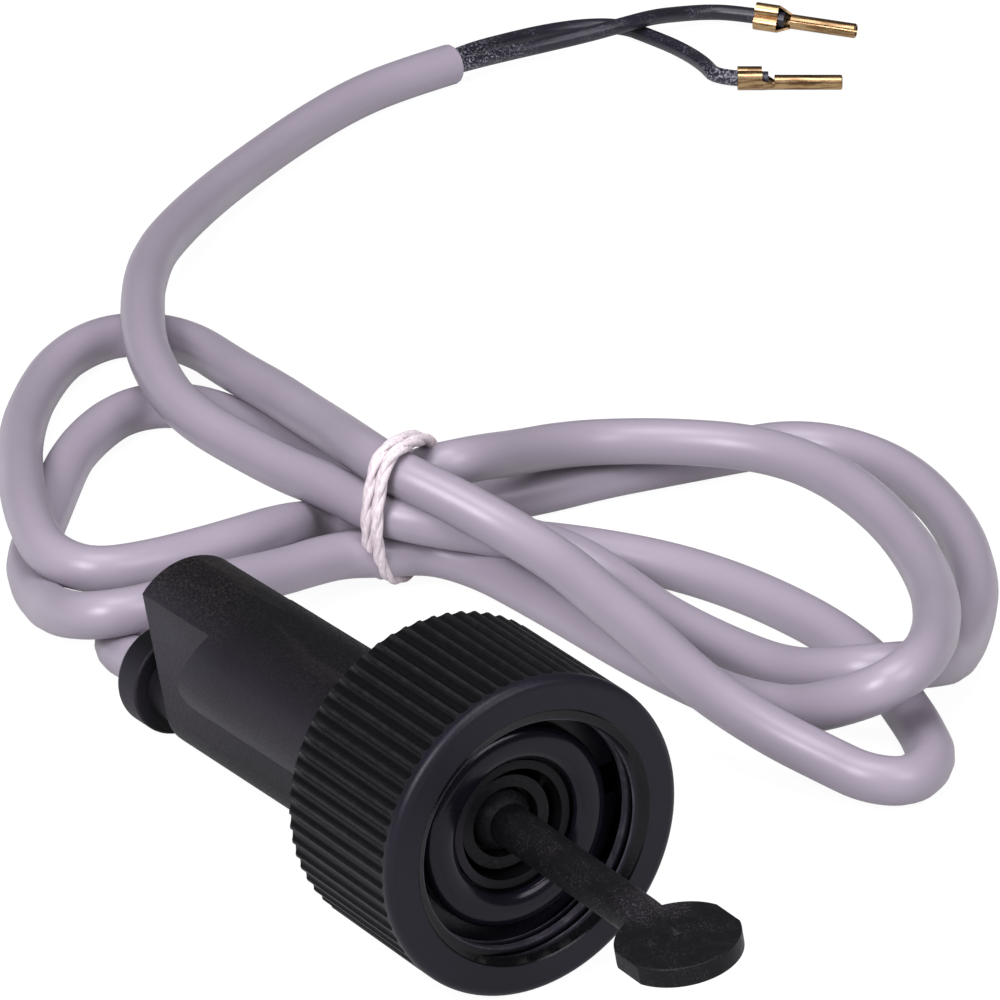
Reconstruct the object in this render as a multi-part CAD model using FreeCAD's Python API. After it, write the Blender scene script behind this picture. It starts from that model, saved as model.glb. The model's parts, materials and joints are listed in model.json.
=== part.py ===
"""Paddle flow switch with a loose union nut and its cable folded into a tied hank.

Units are millimetres. The switch is drawn in its own axes: x runs along the
housing towards the paddle with 0 at the nut's front face, z points away from
the keel, and y makes the frame right handed. lay_down() then puts it on the
table as it comes to rest, with the nut flat on the table, the cable collar
touching it behind, and the top leaning a little to the near side.
"""
import FreeCAD
import Part
import math
import os

V = FreeCAD.Vector

# Union nut
NUT_WALL = 4.4
NUT_LENGTH = 23.2
NUT_FRONT_ROUND = 1.15
NUT_REAR_CHAMFER = 0.6
FLUTE_COUNT = 64
FLUTE_WIDTH = 1.64
FLUTE_DEPTH = 0.62
FLUTE_FRONT_BAND = 1.5
THREAD_MAJOR_DIA = 33.2
THREAD_LENGTH = 4.3
MOUTH_DIA = 33.7
RELIEF_DIA = 33.8
RELIEF_LENGTH = 8.2
NUT_SLACK = 1.0

# Front end of the housing: boss, split ring, face seal and spigot
BOSS_DIA = 26.4
BOSS_FACE_X = -5.9
BOSS_END_GAP = 1.2
SPIGOT_DIA = 16.7
SPIGOT_PROUD = 0.9
CHAMBER_DIA = 14.5
CHAMBER_LENGTH = 28.4
RING_BACKSET = 0.4
RING_THICKNESS = 1.8
RING_HEIGHT = 3.9
RING_CLEARANCE = 0.8
RING_GAP = 4.2
RING_GAP_ANGLE = -3.0
SEAL_WIDTH = 4.4
SEAL_HEIGHT = 2.5
SEAL_MID_DIA = 21.9

# Barrel, keel and tail
BARREL_DIA = 18.5
SHOULDER_X = -69.1
SHOULDER_LOW_ROUND = 4.3
SHOULDER_RAKE_DEG = 34.0
TAIL_X = -80.0
TAIL_EDGE_ROUND = 0.35
KEEL_WIDTH = 12.2
KEEL_DROP = 11.5
KEEL_NUT_GAP = 1.0

# Cable collar behind the tail
NECK_DIA = 10.0
NECK_LENGTH = 6.0
COLLAR_DIA = 14.2
COLLAR_LENGTH = 5.0
COLLAR_FRONT_ROUND = 0.4
COLLAR_REAR_ROUND = 1.1
GROMMET_DIA = 8.6
GROMMET_LENGTH = 9.0

# Paddle lever, its pin and the magnets
PIVOT_X = -11.0
PIN_DIA = 2.0
PIN_RUNNING_CLEARANCE = 0.05
PIN_BITE = 3.0
HUB_DIA = 12.3
HUB_FRONT_X = -6.2
HUB_REAR_X = -15.5
HUB_RECESS_DIA = 9.2
HUB_RECESS_DEPTH = 2.0
BALL_DIA = 8.4
BALL_X = -8.6
ROD_DIA = 5.4
ROD_FACET_LENGTH = 9.0
ROD_FACET_TURN_DEG = 40.0
ROD_BEVEL_LENGTH = 2.5
DISC_X = 33.4
DISC_DIA = 15.3
DISC_THICKNESS = 2.6
DISC_FLAT_WIDTH = 5.0
DISC_EDGE_ROUND = 0.25
PADDLE_SKEW_DEG = 2.5
ARM_DIA = 5.8
ARM_END_X = -31.0
LEVER_MAGNET_DIA = 4.0
LEVER_MAGNET_LENGTH = 7.0
RETURN_MAGNET_DIA = 6.0
RETURN_MAGNET_LENGTH = 4.0

# Reed contact in the keel
CHANNEL_END_X = -26.5
BOARD_LENGTH = 30.0
BOARD_WIDTH = 4.9
BOARD_THICKNESS = 0.8
BOARD_DEPTH = 1.3
CAPSULE_DIA = 2.2
CAPSULE_WALL = 0.35
CAPSULE_END_WALL = 1.05
CAPSULE_LENGTH = 14.0
CAPSULE_SETBACK = 2.5
REED_WIRE_DIA = 0.6
REED_BEND = 0.9
BLADE_WIDTH = 1.0
BLADE_THICKNESS = 0.2
BLADE_OVERLAP = 1.2
BLADE_GAP = 0.15
SOLDER_DIA = 2.0
POTTING_LENGTH = 8.0
POTTING_BOARD_GAP = 1.0

# Cable, its cores, the crimped contacts and the string
CABLE_DIA = 6.4
CORE_DIA = 2.5
CORE_SPACING = 2.7
PIN_CONTACT_DIA = 2.36
PIN_CONTACT_LENGTH = 10.6
CONTACT_WALL = 0.36
CONTACT_NECK_LENGTH = 2.0
CRIMP_WIDTH = 4.4
CRIMP_LENGTH = 3.8
CRIMP_ROLL_SHARE = 0.55
CORE_LIFT = 0.5
CONTACT_SEAM = 0.35
STRING_DIA = 1.65

# Fits
SEAT_GAP = 0.05
REST_LEAN_DEG = 9.5

# Radii and places that follow from the sizes above
NUT_DIA = THREAD_MAJOR_DIA + 2 * NUT_WALL
NUT_R = NUT_DIA / 2
BARREL_R = BARREL_DIA / 2
CHAMBER_R = CHAMBER_DIA / 2
CHAMBER_FRONT_X = BOSS_FACE_X + SPIGOT_PROUD
CHAMBER_END_X = CHAMBER_FRONT_X - CHAMBER_LENGTH
BOSS_END_X = -NUT_LENGTH + BOSS_END_GAP
NUT_HOLE_R = BOSS_DIA / 2 + NUT_SLACK
KEEL_FRONT_X = -NUT_LENGTH - KEEL_NUT_GAP
KEEL_R = KEEL_WIDTH / 2
FLAT_TOP_Z = math.sqrt(BARREL_R ** 2 - KEEL_R ** 2)
COLLAR_FRONT_X = TAIL_X - NECK_LENGTH
COLLAR_REAR_X = COLLAR_FRONT_X - COLLAR_LENGTH
RING_FRONT_X = BOSS_FACE_X - RING_BACKSET
RING_OUTER_DIA = RELIEF_DIA - 2 * RING_CLEARANCE
RING_INNER_R = RING_OUTER_DIA / 2 - RING_HEIGHT
CABLE_R = CABLE_DIA / 2
CHANNEL_R = CABLE_R + SEAT_GAP
BOARD_FRONT_X = CHANNEL_END_X - 2 * SEAT_GAP
BOARD_REAR_X = BOARD_FRONT_X - BOARD_LENGTH
BOARD_TOP_Z = -KEEL_DROP - BOARD_DEPTH
POTTING_FRONT_X = BOARD_REAR_X - POTTING_BOARD_GAP
JACKET_END_X = POTTING_FRONT_X - POTTING_LENGTH - SEAT_GAP
CRIMP_R = CRIMP_WIDTH / 2
CONTACT_R = PIN_CONTACT_DIA / 2
CRIMP_RISE = CRIMP_R - CONTACT_R
CONTACT_PIN_X = CRIMP_LENGTH + CONTACT_NECK_LENGTH
CONTACT_TIP_X = CONTACT_PIN_X + PIN_CONTACT_LENGTH


def rest_droop():
    """Angle in degrees by which the housing droops when the collar meets the table."""
    reach = -(COLLAR_REAR_X + COLLAR_REAR_ROUND)
    depth = KEEL_DROP * math.cos(math.radians(REST_LEAN_DEG)) + COLLAR_DIA / 2
    return math.degrees(math.asin(NUT_R / math.hypot(reach, depth)) - math.atan2(depth, reach))


def reach_on_table(x, z):
    """Distance along the table from the nut's front face to a point of the drooping housing."""
    droop = math.radians(REST_DROOP_DEG)
    return x * math.cos(droop) - z * math.sin(droop)


REST_DROOP_DEG = rest_droop()
LEVER_TIP_X = PIVOT_X + (DISC_X - PIVOT_X) * math.cos(math.radians(PADDLE_SKEW_DEG)) + DISC_DIA / 2
COLLAR_REAR_TOP_Z = COLLAR_DIA / 2 - COLLAR_REAR_ROUND - KEEL_DROP * math.cos(math.radians(REST_LEAN_DEG))
FRONT_REACH = reach_on_table(LEVER_TIP_X, -DISC_THICKNESS / 2)
REAR_REACH = reach_on_table(COLLAR_REAR_X, COLLAR_REAR_TOP_Z)
NUT_FACE_X = -(FRONT_REACH + REAR_REACH) / 2

# Cable route on the table, in the part's own frame: (x, y, z) of each corner
LEAD_ROUTE = [
    (-75.0, 2.2, 5.3), (-82.0, 4.6, 3.9), (-87.6, 9.8, 3.3), (-90.6, 17.4, 3.2), (-91.4, 26.0, 3.2),
    (-90.0, 34.6, 3.2),
]
TAIL_ROUTE = [
    (-101.0, 46.0, 10.6), (-116.0, 45.4, 10.0), (-132.0, 45.8, 10.0), (-148.0, 50.2, 10.0),
    (-164.0, 58.4, 10.0), (-174.0, 64.7, 9.4), (-186.0, 73.7, 8.0), (-197.4, 84.9, 6.2),
    (-208.2, 97.3, 4.6), (-217.8, 110.7, 3.6), (-226.4, 124.9, 3.2), (-232.6, 138.0, 3.2),
    (-235.0, 148.4, 3.2), (-236.0, 158.0, 3.2),
]
CORE_ROUTE_1 = [
    (-240.4, 163.8, 3.0), (-243.0, 172.8, 2.1), (-244.4, 182.0, 1.4), (-243.0, 189.3, 1.27),
    (-239.6, 193.6, 1.27), (-234.6, 194.4, 1.27), (-227.0, 195.4, 1.3), (-218.6, 194.6, 1.5),
]
CORE_ROUTE_2 = [
    (-236.0, 161.6, 3.0), (-237.6, 169.0, 2.4), (-237.0, 176.8, 2.6), (-235.0, 183.8, 3.5),
    (-234.0, 189.4, 4.2), (-235.0, 196.0, 3.9), (-236.2, 202.4, 2.7), (-235.6, 207.2, 2.2),
]

# Where each contact lies: (x, y) of the back of its crimp, heading and roll in degrees
CONTACT_REST_1 = (-209.8, 194.8, 56.5, 0.0)
CONTACT_REST_2 = (-230.3, 212.9, 40.0, 65.0)
CRIMP_LEAD_IN = 3.2

# Plan outlines of the folded hank, with its two lobes open in the middle
LEFT_LOBE_OUTER = [
    (-79.0, 60.0), (-78.0, 42.0), (-83.0, 12.0), (-96.0, 0.5), (-118.0, 4.0), (-150.0, 25.0),
    (-172.0, 44.0), (-177.0, 62.0), (-160.0, 71.0), (-112.0, 63.0),
]
LEFT_LOBE_INNER = [(-99.0, 40.0), (-99.0, 22.0), (-106.0, 17.0), (-126.0, 30.0), (-136.0, 40.0)]
RIGHT_LOBE_OUTER = [
    (-92.0, 44.0), (-70.0, 47.0), (-30.0, 50.0), (4.0, 56.0), (15.0, 68.0), (4.0, 86.0),
    (-30.0, 114.0), (-58.0, 132.0), (-84.0, 132.0), (-100.0, 112.0), (-97.0, 84.0),
]
RIGHT_LOBE_INNER = [(-78.0, 78.0), (-85.0, 96.0), (-76.0, 103.0), (-46.0, 98.0), (-32.0, 90.0), (-58.0, 83.0)]
HANK_HEIGHT = 12.8

# String round the middle of the hank: corners (across, up) in its plane, and the plane's place
TIE_SECTION = [
    (-1.6, 0.85), (-7.4, 9.0), (-6.6, 17.0), (-3.4, 21.4), (3.5, 21.3), (10.6, 17.6), (11.2, 0.85),
]
TIE_PLACE = (-82.5, 50.8)
TIE_TURN_DEG = 15.0
WAIST_HALF_LENGTH = 9.0
ARC_SHARE = 0.45


def along_x(radius, x0, x1, y=0.0, z=0.0):
    """Round bar from x0 to x1 parallel to the x axis."""
    low, high = sorted((x0, x1))
    return Part.makeCylinder(radius, high - low, V(low, y, z), V(1, 0, 0))


def turned(profile, z=0.0):
    """Solid of revolution about the x axis at height z from (x, radius) corners."""
    corners = [V(x, 0, z + r) for x, r in profile]
    face = Part.Face(Part.makePolygon(corners + corners[:1]))
    return face.revolve(V(0, 0, z), V(1, 0, 0), 360)


def box_between(low, high):
    """Box given by its lowest and highest corners."""
    size = V(*high) - V(*low)
    return Part.makeBox(size.x, size.y, size.z, V(*low))


def lean_and_droop(shape):
    """Turn a piece of the housing about the middle of the nut's front face to its lie."""
    laid = shape.copy()
    laid.rotate(V(0, 0, 0), V(1, 0, 0), REST_LEAN_DEG)
    laid.rotate(V(0, 0, 0), V(0, 1, 0), -REST_DROOP_DEG)
    return laid


def stand_on_table(shape):
    """Move a piece from the nut's front face to its place above the table."""
    placed = shape.copy()
    placed.translate(V(NUT_FACE_X, 0, NUT_R))
    return placed


def lay_down(shape):
    """Lean, droop and place a piece that belongs to the housing."""
    return stand_on_table(lean_and_droop(shape))


def table_point(x, y, z):
    """Where a point of the housing lies once the switch is on the table."""
    return lay_down(Part.Vertex(V(x, y, z))).Point


def rounded_edges(points, closed=False):
    """Straight runs joined by tangent arcs, each arc as large as its two runs allow.

    Returns the edges, the arc radii and the length of the path.
    """
    count = len(points)
    corners = range(count) if closed else range(1, count - 1)
    cuts = {}
    radii = []
    for i in corners:
        before = points[i - 1] - points[i]
        after = points[(i + 1) % count] - points[i]
        half_turn = (math.pi - before.getAngle(after)) / 2
        setback = ARC_SHARE * min(before.Length, after.Length)
        radius = setback / math.tan(half_turn)
        radii.append(radius)
        start = points[i] + before.normalize() * setback
        end = points[i] + after.normalize() * setback
        inward = (before + after).normalize()
        middle = points[i] + inward * (radius / math.cos(half_turn) - radius)
        cuts[i] = (start, middle, end)
    edges = []
    for i in range(count if closed else count - 1):
        nxt = (i + 1) % count
        run_start = cuts[i][2] if i in cuts else points[i]
        run_end = cuts[nxt][0] if nxt in cuts else points[nxt]
        edges.append(Part.LineSegment(run_start, run_end).toShape())
        if nxt in cuts:
            edges.append(Part.Arc(*cuts[nxt]).toShape())
    return edges, radii, sum(edge.Length for edge in edges)


def tube(name, points, radius, closed=False):
    """Plain round tube along a rounded route, with its radii and volume printed."""
    edges, radii, length = rounded_edges(points, closed)
    path = Part.Wire(edges)
    heading = edges[0].tangentAt(edges[0].FirstParameter)
    start = edges[0].valueAt(edges[0].FirstParameter)
    ring = Part.Wire(Part.Circle(start, heading, radius).toShape())
    sweep = path.makePipeShell([ring], True, False)
    expected = math.pi * radius ** 2 * length
    tightest = min(radii) / (2 * radius)
    print(f"{name}: length {length:.1f}, tightest arc {tightest:.1f} diameters,"
          f" volume {sweep.Volume:.0f} of {expected:.0f}")
    return sweep


def plan_slab(outline, height):
    """Flat slab of a rounded plan outline standing on the table."""
    edges, _, _ = rounded_edges([V(x, y, 0) for x, y in outline], closed=True)
    return Part.Face(Part.Wire(edges)).extrude(V(0, 0, height))


def flute_cutter():
    """One groove of the nut's grip, rounded at its front end, at the top of the nut."""
    half = FLUTE_WIDTH / 2
    radius = (half ** 2 + FLUTE_DEPTH ** 2) / (2 * FLUTE_DEPTH)
    height = NUT_R - FLUTE_DEPTH + radius
    front = -FLUTE_FRONT_BAND - radius
    groove = along_x(radius, -NUT_LENGTH - radius, front, z=height)
    return groove.fuse(Part.makeSphere(radius, V(front, 0, height)))


def union_nut():
    """Fluted nut with a threaded mouth, a relief for the split ring and an inner shoulder."""
    thread_end = -THREAD_LENGTH
    shoulder = thread_end - RELIEF_LENGTH
    mouth_depth = (MOUTH_DIA - THREAD_MAJOR_DIA) / 2
    blank = turned([
        (0, MOUTH_DIA / 2), (0, NUT_R), (-NUT_LENGTH + NUT_REAR_CHAMFER, NUT_R),
        (-NUT_LENGTH, NUT_R - NUT_REAR_CHAMFER), (-NUT_LENGTH, NUT_HOLE_R), (shoulder, NUT_HOLE_R),
        (shoulder, RELIEF_DIA / 2), (thread_end, RELIEF_DIA / 2), (thread_end, THREAD_MAJOR_DIA / 2),
        (-mouth_depth, THREAD_MAJOR_DIA / 2),
    ])
    front = [edge for edge in blank.Edges if edge.BoundBox.XMin > -SEAT_GAP]
    rim = [edge for edge in front if edge.BoundBox.ZMax > NUT_R - SEAT_GAP]
    blank = blank.makeFillet(NUT_FRONT_ROUND, rim)
    cutter = flute_cutter()
    pitch = 360 / FLUTE_COUNT
    flutes = []
    for i in range(FLUTE_COUNT):
        flute = cutter.copy()
        flute.rotate(V(0, 0, 0), V(1, 0, 0), (i + 0.5) * pitch)
        flutes.append(flute)
    return blank.cut(Part.makeCompound(flutes))


def keel_section(x):
    """Section of the keel and tail: barrel arc on top, two flats and a full round below."""
    near_top = V(x, -KEEL_R, FLAT_TOP_Z)
    far_top = V(x, KEEL_R, FLAT_TOP_Z)
    near_low = V(x, -KEEL_R, -KEEL_DROP)
    far_low = V(x, KEEL_R, -KEEL_DROP)
    edges = [
        Part.Arc(near_top, V(x, 0, BARREL_R), far_top).toShape(),
        Part.LineSegment(far_top, far_low).toShape(),
        Part.Arc(far_low, V(x, 0, -KEEL_DROP - KEEL_R), near_low).toShape(),
        Part.LineSegment(near_low, near_top).toShape(),
    ]
    return Part.Face(Part.Wire(edges))


def keel_and_tail():
    """Flat-sided keel from the nut to the tail, with its rear rim eased."""
    keel = keel_section(TAIL_X).extrude(V(KEEL_FRONT_X - TAIL_X, 0, 0))
    rear_rim = [edge for edge in keel.Edges if edge.BoundBox.XMax < TAIL_X + SEAT_GAP]
    return keel.makeFillet(TAIL_EDGE_ROUND, rear_rim)


def shoulder_cutter():
    """What is cut away behind the barrel's swell: a raked end with a rounded lower corner."""
    rake = math.radians(SHOULDER_RAKE_DEG)
    radius = SHOULDER_LOW_ROUND
    middle = V(SHOULDER_X + radius, -BARREL_R, radius - FLAT_TOP_Z)
    low = middle + V(0, 0, -radius)
    rear = middle + V(-radius, 0, 0)
    rake_foot = middle + V(-math.cos(rake), 0, math.sin(rake)) * radius
    rise = BARREL_R - rake_foot.z
    top = rake_foot + V(rise * math.tan(rake), 0, rise)
    rear_top = V(rear.x - radius, -BARREL_R, top.z)
    rear_low = V(rear.x - radius, -BARREL_R, low.z)
    edges = [
        Part.Arc(low, rear, rake_foot).toShape(),
        Part.LineSegment(rake_foot, top).toShape(),
        Part.LineSegment(top, rear_top).toShape(),
        Part.LineSegment(rear_top, rear_low).toShape(),
        Part.LineSegment(rear_low, low).toShape(),
    ]
    return Part.Face(Part.Wire(edges)).extrude(V(0, BARREL_DIA, 0))


def barrel():
    """Round barrel of the housing, which swells out on both sides of the keel's flats."""
    return along_x(BARREL_R, SHOULDER_X, BOSS_END_X).cut(shoulder_cutter())


def front_boss():
    """Boss inside the nut, with the groove of the split ring and the spigot."""
    ring_rear = RING_FRONT_X - RING_THICKNESS - SEAT_GAP
    groove_r = RING_INNER_R - SEAT_GAP
    taper = BOSS_DIA / 2 - BARREL_R
    return turned([
        (CHAMBER_FRONT_X, 0), (CHAMBER_FRONT_X, SPIGOT_DIA / 2), (BOSS_FACE_X, SPIGOT_DIA / 2),
        (BOSS_FACE_X, BOSS_DIA / 2), (RING_FRONT_X + SEAT_GAP, BOSS_DIA / 2),
        (RING_FRONT_X + SEAT_GAP, groove_r), (ring_rear, groove_r), (ring_rear, BOSS_DIA / 2),
        (BOSS_END_X + taper / 2, BOSS_DIA / 2), (BOSS_END_X, BARREL_R + taper / 2), (BOSS_END_X, 0),
    ])


def cable_collar():
    """Neck and collar behind the tail, round the cable."""
    bar = along_x(COLLAR_DIA / 2, COLLAR_REAR_X, COLLAR_FRONT_X, z=-KEEL_DROP)
    rear = [edge for edge in bar.Edges if edge.BoundBox.XMax < COLLAR_REAR_X + SEAT_GAP]
    bar = bar.makeFillet(COLLAR_REAR_ROUND, rear)
    front = [edge for edge in bar.Edges if edge.BoundBox.XMin > COLLAR_FRONT_X - SEAT_GAP]
    bar = bar.makeFillet(COLLAR_FRONT_ROUND, front)
    neck = along_x(NECK_DIA / 2, COLLAR_FRONT_X, TAIL_X + KEEL_R, z=-KEEL_DROP)
    return bar.fuse(neck)


def switch_housing():
    """One moulding: barrel, keel, tail, collar and boss, bored for lever, reed and cable."""
    body = barrel().multiFuse([keel_and_tail(), front_boss(), cable_collar()])
    pin_far = CHAMBER_R + PIN_BITE
    pocket_end = CHAMBER_END_X - RETURN_MAGNET_LENGTH - SEAT_GAP
    behind = COLLAR_REAR_X - CABLE_DIA
    grommet_end = COLLAR_REAR_X + GROMMET_LENGTH + SEAT_GAP
    bores = [
        along_x(CHAMBER_R, CHAMBER_END_X, 0),
        along_x(RETURN_MAGNET_DIA / 2 + SEAT_GAP, pocket_end, CHAMBER_END_X),
        along_x(CHANNEL_R, behind, CHANNEL_END_X, z=-KEEL_DROP),
        along_x(GROMMET_DIA / 2 + SEAT_GAP, behind, grommet_end, z=-KEEL_DROP),
        Part.makeCylinder(PIN_DIA / 2, pin_far + NUT_R, V(PIVOT_X, -NUT_R, 0), V(0, 1, 0)),
    ]
    return body.cut(Part.makeCompound(bores)).removeSplitter()


def split_ring():
    """Sprung retaining ring in the boss groove, with its gap on the far side."""
    outer = RING_OUTER_DIA / 2
    ring = along_x(outer, RING_FRONT_X - RING_THICKNESS, RING_FRONT_X)
    ring = ring.cut(along_x(RING_INNER_R, RING_FRONT_X - 2 * RING_THICKNESS, 0))
    gap = box_between((RING_FRONT_X - 2 * RING_THICKNESS, 0, -RING_GAP / 2), (0, NUT_DIA, RING_GAP / 2))
    gap.rotate(V(0, 0, 0), V(1, 0, 0), RING_GAP_ANGLE)
    return ring.cut(gap)


def face_seal():
    """Rubber seal ring of flattened section that lies on the front of the boss."""
    middle = V(BOSS_FACE_X + SEAL_HEIGHT / 2 + SEAT_GAP, 0, SEAL_MID_DIA / 2)
    outside = middle + V(0, 0, SEAL_WIDTH / 2)
    front = middle + V(SEAL_HEIGHT / 2, 0, 0)
    section = Part.Face(Part.Wire(Part.Ellipse(outside, front, middle).toShape()))
    return section.revolve(V(0, 0, 0), V(1, 0, 0), 360)


def paddle_disc():
    """Round paddle blade at the end of the rod, with two small flats on its rim."""
    half = DISC_THICKNESS / 2
    disc = Part.makeCylinder(DISC_DIA / 2, DISC_THICKNESS, V(DISC_X, 0, -half))
    sagitta = DISC_DIA / 2 - math.sqrt((DISC_DIA / 2) ** 2 - (DISC_FLAT_WIDTH / 2) ** 2)
    inside = DISC_DIA / 2 - sagitta
    keep = box_between((DISC_X - DISC_DIA, -inside, -half), (DISC_X + DISC_DIA, inside, half))
    blade = disc.common(keep)
    rims = [edge for edge in blade.Edges if edge.BoundBox.ZLength < half]
    return blade.makeFillet(DISC_EDGE_ROUND, rims)


def rod_wedge(length, turn):
    """What one facet takes off the end of the rod, turned about the rod's axis."""
    rod_r = ROD_DIA / 2
    start = V(DISC_X - length, -ROD_DIA, rod_r)
    end = V(DISC_X, -ROD_DIA, DISC_THICKNESS / 2)
    side = Part.Face(Part.makePolygon([start, end, V(DISC_X, -ROD_DIA, rod_r), start]))
    wedge = side.extrude(V(0, 2 * ROD_DIA, 0))
    wedge.rotate(V(0, 0, 0), V(1, 0, 0), turn)
    return wedge


def paddle_rod():
    """Round rod whose end runs down in long facets and short bevels to both faces of the blade."""
    rod = along_x(ROD_DIA / 2, BALL_X, DISC_X)
    for side in (0, 180):
        for turn in (side - ROD_FACET_TURN_DEG, side + ROD_FACET_TURN_DEG):
            rod = rod.cut(rod_wedge(ROD_FACET_LENGTH, turn))
        rod = rod.cut(rod_wedge(ROD_BEVEL_LENGTH, side))
    return rod


def paddle_lever():
    """One moulding: blade, rod, ball root, hub on the pin and the arm that holds the magnet."""
    hub = along_x(HUB_DIA / 2, HUB_REAR_X, HUB_FRONT_X)
    hub = hub.cut(along_x(HUB_RECESS_DIA / 2, HUB_FRONT_X - HUB_RECESS_DEPTH, 0))
    arm = along_x(ARM_DIA / 2, ARM_END_X, HUB_REAR_X + HUB_RECESS_DEPTH)
    ball = Part.makeSphere(BALL_DIA / 2, V(BALL_X, 0, 0))
    lever = hub.multiFuse([arm, ball, paddle_rod(), paddle_disc()])
    pocket = along_x(LEVER_MAGNET_DIA / 2 + SEAT_GAP, ARM_END_X - ARM_DIA,
                     ARM_END_X + LEVER_MAGNET_LENGTH + SEAT_GAP)
    lever = lever.cut(pocket)
    lever.rotate(V(PIVOT_X, 0, 0), V(0, 0, 1), -PADDLE_SKEW_DEG)
    hole_r = PIN_DIA / 2 + PIN_RUNNING_CLEARANCE
    hole = Part.makeCylinder(hole_r, 2 * NUT_R, V(PIVOT_X, -NUT_R, 0), V(0, 1, 0))
    return lever.cut(hole).removeSplitter()


def lever_magnet():
    """Bar magnet in the end of the lever's arm."""
    magnet = along_x(LEVER_MAGNET_DIA / 2, ARM_END_X, ARM_END_X + LEVER_MAGNET_LENGTH)
    magnet.rotate(V(PIVOT_X, 0, 0), V(0, 0, 1), -PADDLE_SKEW_DEG)
    return magnet


def return_magnet():
    """Fixed magnet in the chamber's end wall that draws the lever back to the middle."""
    return along_x(RETURN_MAGNET_DIA / 2, CHAMBER_END_X - RETURN_MAGNET_LENGTH, CHAMBER_END_X - SEAT_GAP)


def pivot_pin():
    """Steel pin across the chamber that carries the lever."""
    half = CHAMBER_R + PIN_BITE - SEAT_GAP
    return Part.makeCylinder(PIN_DIA / 2 - SEAT_GAP / 2, 2 * half, V(PIVOT_X, -half, 0), V(0, 1, 0))


CAPSULE_FRONT_X = BOARD_FRONT_X - CAPSULE_SETBACK
CAPSULE_REAR_X = CAPSULE_FRONT_X - CAPSULE_LENGTH
CAPSULE_MID_X = (CAPSULE_FRONT_X + CAPSULE_REAR_X) / 2
CAPSULE_Z = BOARD_TOP_Z + CAPSULE_DIA / 2 + SEAT_GAP


def reed_board():
    """Narrow circuit board in the keel that carries the reed contact."""
    board = box_between((BOARD_REAR_X, -BOARD_WIDTH / 2, BOARD_TOP_Z - BOARD_THICKNESS),
                        (BOARD_FRONT_X, BOARD_WIDTH / 2, BOARD_TOP_Z))
    hole_r = REED_WIRE_DIA / 2 + SEAT_GAP
    below = BOARD_TOP_Z - 2 * BOARD_THICKNESS
    for x in (CAPSULE_FRONT_X + REED_BEND, CAPSULE_REAR_X - REED_BEND):
        board = board.cut(Part.makeCylinder(hole_r, 3 * BOARD_THICKNESS, V(x, 0, below)))
    return board


def reed_capsule():
    """Glass tube of the reed contact, closed round its two wires."""
    outer = along_x(CAPSULE_DIA / 2, CAPSULE_REAR_X, CAPSULE_FRONT_X, z=CAPSULE_Z)
    rims = [edge for edge in outer.Edges if edge.Closed and len(edge.Vertexes) == 1]
    outer = outer.makeFillet(CAPSULE_WALL, rims)
    inside = along_x(CAPSULE_DIA / 2 - CAPSULE_WALL, CAPSULE_REAR_X + CAPSULE_END_WALL,
                     CAPSULE_FRONT_X - CAPSULE_END_WALL, z=CAPSULE_Z)
    wires = along_x(REED_WIRE_DIA / 2 + SEAT_GAP, CAPSULE_REAR_X - REED_BEND,
                    CAPSULE_FRONT_X + REED_BEND, z=CAPSULE_Z)
    return outer.cut(inside.fuse(wires))


def reed_wire(name, seal_x, outward):
    """Wire of the reed contact: a blade in the glass, then out and down into the board."""
    board_floor = BOARD_TOP_Z - BOARD_THICKNESS
    bend_x = seal_x + outward * REED_BEND
    inner_x = seal_x - outward * CAPSULE_END_WALL
    route = [V(inner_x, 0, CAPSULE_Z), V(bend_x, 0, CAPSULE_Z), V(bend_x, 0, board_floor)]
    lead = tube(name, route, REED_WIRE_DIA / 2)
    tip_x = CAPSULE_MID_X - outward * BLADE_OVERLAP / 2
    low_x, high_x = sorted((tip_x, inner_x))
    mid_z = CAPSULE_Z + outward * (BLADE_GAP + BLADE_THICKNESS) / 2
    blade = box_between((low_x, -BLADE_WIDTH / 2, mid_z - BLADE_THICKNESS / 2),
                        (high_x, BLADE_WIDTH / 2, mid_z + BLADE_THICKNESS / 2))
    return lead.fuse(blade)


CORE_TIP_X = POTTING_FRONT_X + CAPSULE_SETBACK + SOLDER_DIA
CORE_Z = BOARD_TOP_Z + CORE_DIA / 2 + SEAT_GAP


def inner_core(side):
    """Insulated core between the end of the cable's jacket and the board."""
    return along_x(CORE_DIA / 2, JACKET_END_X + SEAT_GAP, CORE_TIP_X, y=side * CORE_SPACING / 2, z=CORE_Z)


def solder_joints():
    """Two domes of solder that join the core ends to the board."""
    radius = SOLDER_DIA / 2
    x = CORE_TIP_X + radius + SEAT_GAP
    domes = []
    for side in (-1, 1):
        y = side * CORE_SPACING / 2
        upper = box_between((x - radius, y - radius, BOARD_TOP_Z),
                            (x + radius, y + radius, BOARD_TOP_Z + radius))
        domes.append(Part.makeSphere(radius, V(x, y, BOARD_TOP_Z)).common(upper))
    return Part.makeCompound(domes)


def potting_plug():
    """Cast plug that closes the channel round the two cores."""
    rear = POTTING_FRONT_X - POTTING_LENGTH
    plug = along_x(CHANNEL_R - SEAT_GAP, rear, POTTING_FRONT_X, z=-KEEL_DROP)
    for side in (-1, 1):
        y = side * CORE_SPACING / 2
        plug = plug.cut(along_x(CORE_DIA / 2 + SEAT_GAP, rear - CORE_DIA, 0, y=y, z=CORE_Z))
    return plug


def cable_grommet():
    """Rubber sleeve between the collar and the cable."""
    front = COLLAR_REAR_X + GROMMET_LENGTH
    sleeve = along_x(GROMMET_DIA / 2, COLLAR_REAR_X, front, z=-KEEL_DROP)
    return sleeve.cut(along_x(CABLE_R + SEAT_GAP, COLLAR_REAR_X - CABLE_DIA, 0, z=-KEEL_DROP))


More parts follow.
